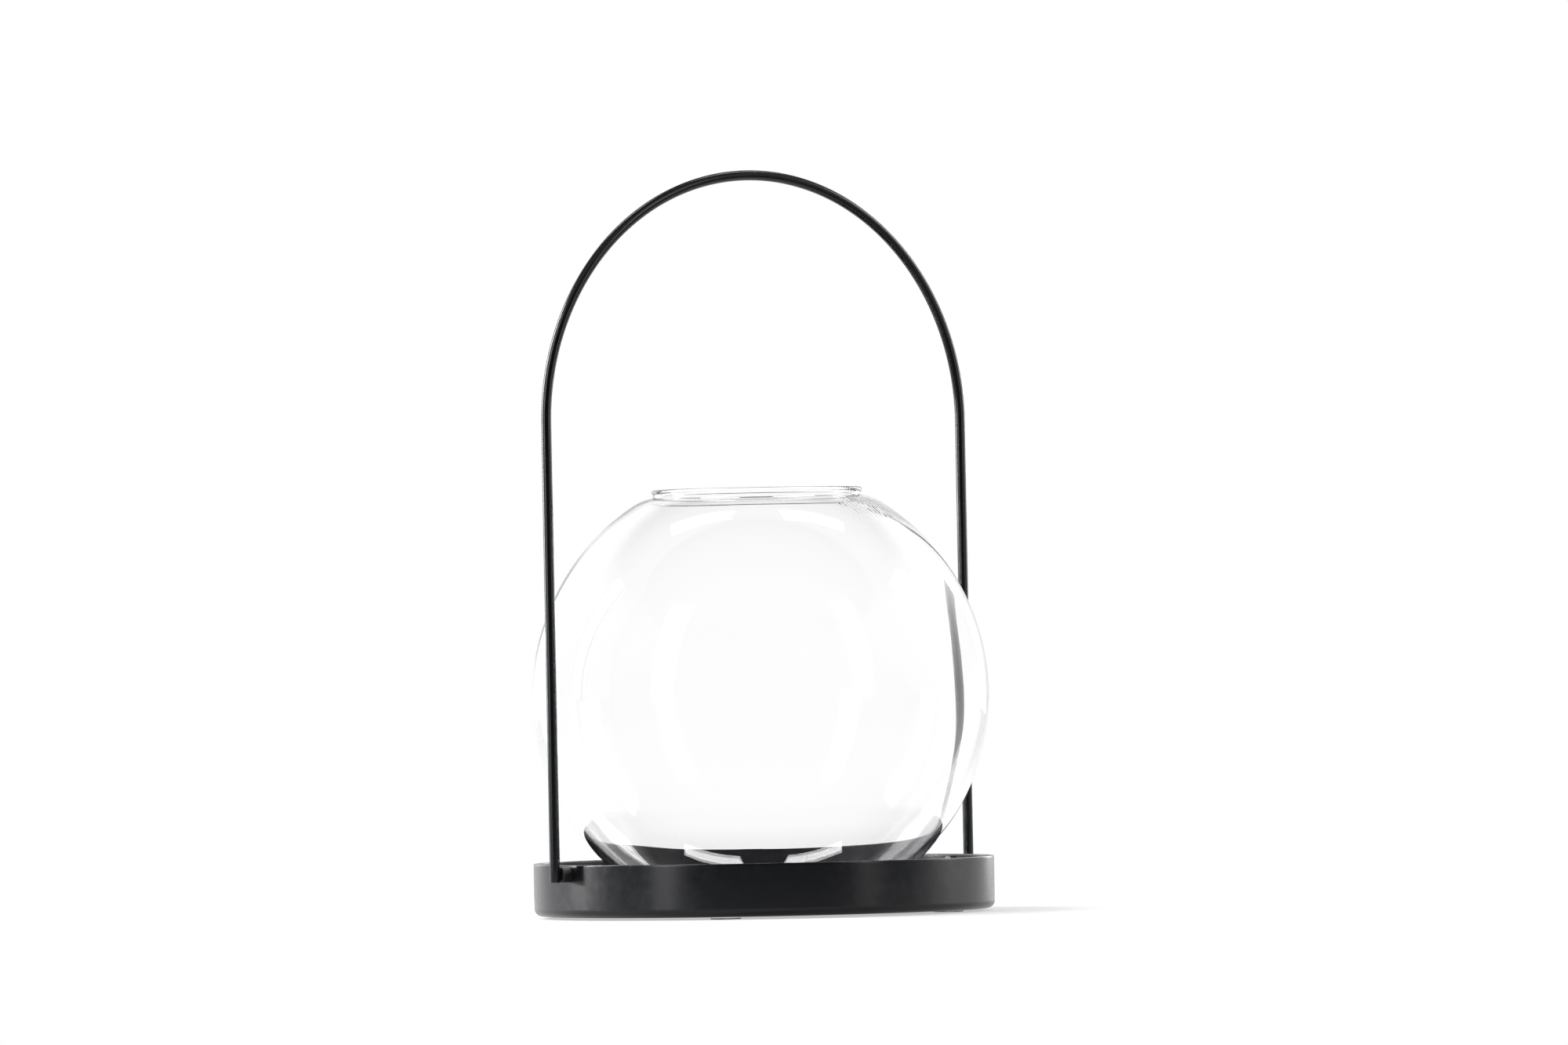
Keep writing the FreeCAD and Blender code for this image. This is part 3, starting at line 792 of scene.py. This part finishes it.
def pale_floor(studio):
    """Pale matt floor that keeps the shadow: plain white far off, and dim in front in reflections."""
    made = Finish("pale_floor")
    made.material.cycles.emission_sampling = "NONE"
    made.set(Base_Color=FLOOR_GREY, Roughness=1.0, Specular_IOR_Level=0.0, Emission_Color=WHITE)
    rays = made.nodes.new("ShaderNodeLightPath").outputs
    ahead = made.along(made.place, studio_direction(studio, 0, 0))
    dimmed = made.ramp(ahead, low=0.0, high=0.16, start=1.0, finish=0.1)
    mirrored = made.reckon("MULTIPLY", rays["Is Glossy Ray"], dimmed)
    glow = made.reckon("MAXIMUM", made.plain_view(rays), mirrored)
    # Near the lantern half of the white is light from the lamps, so that the shadow shows.
    made.links.new(made.reckon("MULTIPLY", glow, 0.5), made.shader.inputs["Emission Strength"])
    far = made.nodes.new("ShaderNodeEmission")
    made.links.new(glow, far.inputs["Strength"])
    distance = made.nodes.new("ShaderNodeVectorMath")
    distance.operation = "LENGTH"
    made.links.new(made.place, distance.inputs[0])
    far_off = made.ramp(distance.outputs["Value"], low=0.15, high=0.6, start=0.0, finish=1.0)
    mix = made.nodes.new("ShaderNodeMixShader")
    made.links.new(far_off, mix.inputs["Fac"])
    made.links.new(made.shader.outputs["BSDF"], mix.inputs[1])
    made.links.new(far.outputs["Emission"], mix.inputs[2])
    made.links.new(mix.outputs["Shader"], made.nodes["Material Output"].inputs["Surface"])
    return made.material


def stand_camera(studio):
    """Camera at the picture's place, angle and focal length."""
    lens = bpy.data.cameras.new("camera")
    lens.sensor_width = SENSOR_WIDTH
    lens.lens = studio.focal_pixels * SENSOR_WIDTH / PICTURE_WIDTH
    lens.clip_end = 100.0
    camera = bpy.data.objects.new("camera", lens)
    away = studio_direction(studio, 0, 0) * studio.camera_distance
    stand = Matrix.Translation((away.x, away.y, studio.camera_height))
    aim = Matrix.Rotation(studio.camera_azimuth - studio.camera_yaw, 4, "Z")
    aim = aim @ Matrix.Rotation(math.pi / 2 + studio.camera_pitch, 4, "X")
    camera.matrix_world = stand @ aim @ Matrix.Rotation(-studio.camera_roll, 4, "Z")
    bpy.context.scene.collection.objects.link(camera)
    bpy.context.scene.camera = camera


class LANTERN_OT_stage(bpy.types.Operator):
    """Set up the floor, the softboxes, the surroundings and the camera"""

    bl_idname = "lantern.stage"
    bl_label = "Stage"

    def execute(self, context):
        studio = context.scene.lantern_studio
        sheet = bmesh.new()
        bmesh.ops.create_circle(sheet, cap_ends=True, segments=96, radius=FLOOR_RADIUS)
        floor = to_object("floor", sheet)
        floor.data.materials.append(pale_floor(studio))
        studio_world(studio)
        softboxes(studio)
        stand_camera(studio)
        context.scene.view_settings.view_transform = "Standard"
        return {"FINISHED"}


STEPS = (LANTERN_OT_tray, LANTERN_OT_globe, LANTERN_OT_handle, LANTERN_OT_pivots, LANTERN_OT_pads,
         LANTERN_OT_stage)


class LANTERN_PT_sidebar(bpy.types.Panel):
    """Sizes, finishes and steps of the lantern"""

    bl_idname = "LANTERN_PT_sidebar"
    bl_label = "Candle lantern"
    bl_space_type = "VIEW_3D"
    bl_region_type = "UI"
    bl_category = "Lantern"

    def draw(self, context):
        for name in GROUPS:
            group = getattr(context.scene, name)
            column = self.layout.column(align=True)
            for setting in group.__annotations__:
                column.prop(group, setting)
        for step in STEPS:
            self.layout.operator(step.bl_idname)


GROUPS = {"lantern_sizes": LanternSizes, "lantern_finish": LanternFinish, "lantern_studio": LanternStudio}
CLASSES = (*GROUPS.values(), *STEPS, LANTERN_PT_sidebar)


def register():
    """Add the classes and the scene's settings."""
    for item in CLASSES:
        bpy.utils.register_class(item)
    for name, group in GROUPS.items():
        setattr(bpy.types.Scene, name, PointerProperty(type=group))


def unregister():
    """Take the settings and the classes away again."""
    for name in GROUPS:
        delattr(bpy.types.Scene, name)
    for item in reversed(CLASSES):
        bpy.utils.unregister_class(item)


def main():
    """Make the lantern piece by piece."""
    register()
    bpy.ops.lantern.tray()
    bpy.ops.lantern.globe()
    bpy.ops.lantern.handle()
    bpy.ops.lantern.pivots()
    bpy.ops.lantern.pads()
    bpy.ops.lantern.stage()


if __name__ == "__main__":
    main()
